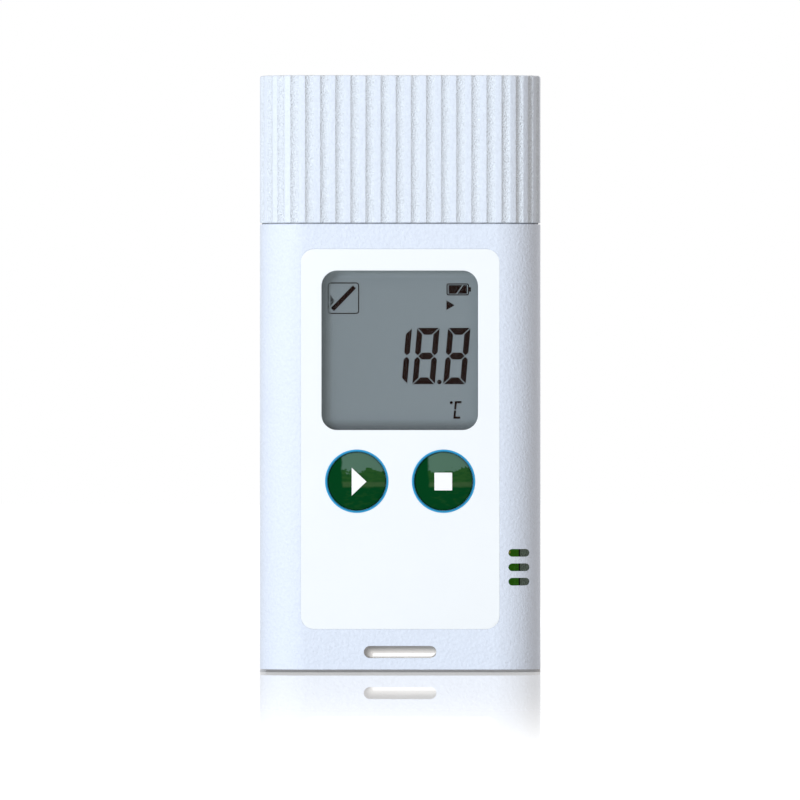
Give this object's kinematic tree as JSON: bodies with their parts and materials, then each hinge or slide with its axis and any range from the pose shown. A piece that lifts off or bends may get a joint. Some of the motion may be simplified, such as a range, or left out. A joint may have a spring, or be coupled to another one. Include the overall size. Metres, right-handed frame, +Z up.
{
  "type": "temperature data logger",
  "caption": "Upright pocket temperature data logger: white two-shell case, fluted cap over a USB plug, segment display, start and stop buttons, vents, lanyard slot.",
  "frame": {"origin": "middle of the flat base that it stands on", "axes": "+Z up through the cap and the plug, +Y out of the back, -Y out of the front with the display, +X to the right as seen from the front"},
  "size_m": [0.04, 0.014, 0.085],
  "materials": {
    "case_white": "fine spark-eroded matt",
    "cap_white": "fine spark-eroded matt",
    "overlay_white": "smooth gloss film",
    "clear_lens": "polished clear",
    "polarizer_film": "neutral film",
    "display_glass": "polished clear",
    "display_ink": "dark segment layer",
    "display_grey": "grey reflector",
    "holder_white": "plain moulded",
    "zebra_rubber": "layered elastomer",
    "board_green": "solder resist",
    "button_green": "polished gloss",
    "mark_white": "polished gloss",
    "ring_azure": "gloss print",
    "tinned_steel": "tin plated",
    "black_plastic": "plain moulded",
    "chip_black": "moulded epoxy",
    "ceramic_tan": "fired ceramic",
    "plug_steel": "nickel plated",
    "tongue_white": "plain moulded",
    "contact_gold": "gold flash",
    "cell_steel": "satin steel",
    "label_white": "matt film",
    "screw_steel": "zinc plated"
  },
  "bodies": {
    "case": {"front_shell": "case_white", "rear_shell": "case_white", "front_overlay": "overlay_white", "window_lens": "clear_lens", "lcd_polarizer": "polarizer_film", "lcd_front_glass": "display_glass", "lcd_segments": "display_ink", "lcd_rear_glass": "display_glass", "lcd_reflector": "display_grey", "lcd_holder": "holder_white", "zebra_strip": "zebra_rubber", "circuit_board": "board_green", "start_ring": "ring_azure", "stop_ring": "ring_azure", "start_switch": "tinned_steel", "stop_switch": "tinned_steel", "processor": "chip_black", "processor_leads": "tinned_steel", "memory_chip": "chip_black", "memory_leads": "tinned_steel", "watch_crystal": "tinned_steel", "temperature_sensor": "chip_black", "capacitors": "ceramic_tan", "resistors": "chip_black", "usb_plug_shell": "plug_steel", "usb_plug_tongue": "tongue_white", "usb_contacts": "contact_gold", "coin_cell": "cell_steel", "negative_contact": "contact_gold", "positive_contact": "contact_gold", "rear_label": "label_white", "case_screws": "screw_steel"},
    "cap": {"usb_cap": "cap_white"},
    "start_key": {"start_button": "button_green", "start_mark": "mark_white"},
    "start_pin": {"start_plunger": "black_plastic"},
    "stop_key": {"stop_button": "button_green", "stop_mark": "mark_white"},
    "stop_pin": {"stop_plunger": "black_plastic"},
    "battery_door": {"battery_cover": "case_white"}
  },
  "joints": [
    {"name": "cap_pull", "type": "slide", "parent": "case", "child": "cap", "axis": [0, 0, 1], "range_m": [0, 0.024]},
    {"name": "start_press", "type": "slide", "parent": "case", "child": "start_key", "axis": [0, 1, 0], "range_m": [0, 0.00025], "stiffness_N_per_m": 2000},
    {"name": "start_pin_press", "type": "slide", "parent": "case", "child": "start_pin", "axis": [0, 1, 0], "range_m": [0, 0.00025]},
    {"name": "stop_press", "type": "slide", "parent": "case", "child": "stop_key", "axis": [0, 1, 0], "range_m": [0, 0.00025], "stiffness_N_per_m": 2000},
    {"name": "stop_pin_press", "type": "slide", "parent": "case", "child": "stop_pin", "axis": [0, 1, 0], "range_m": [0, 0.00025]},
    {"name": "cover_turn", "type": "hinge", "parent": "case", "child": "battery_door", "pos_m": [0, 0.006, 0.024], "axis": [0, 1, 0], "range_deg": [0, 45]}
  ],
  "couplings": [
    {"joint": "start_pin_press", "follows": "start_press", "ratio": 1},
    {"joint": "stop_pin_press", "follows": "stop_press", "ratio": 1}
  ]
}
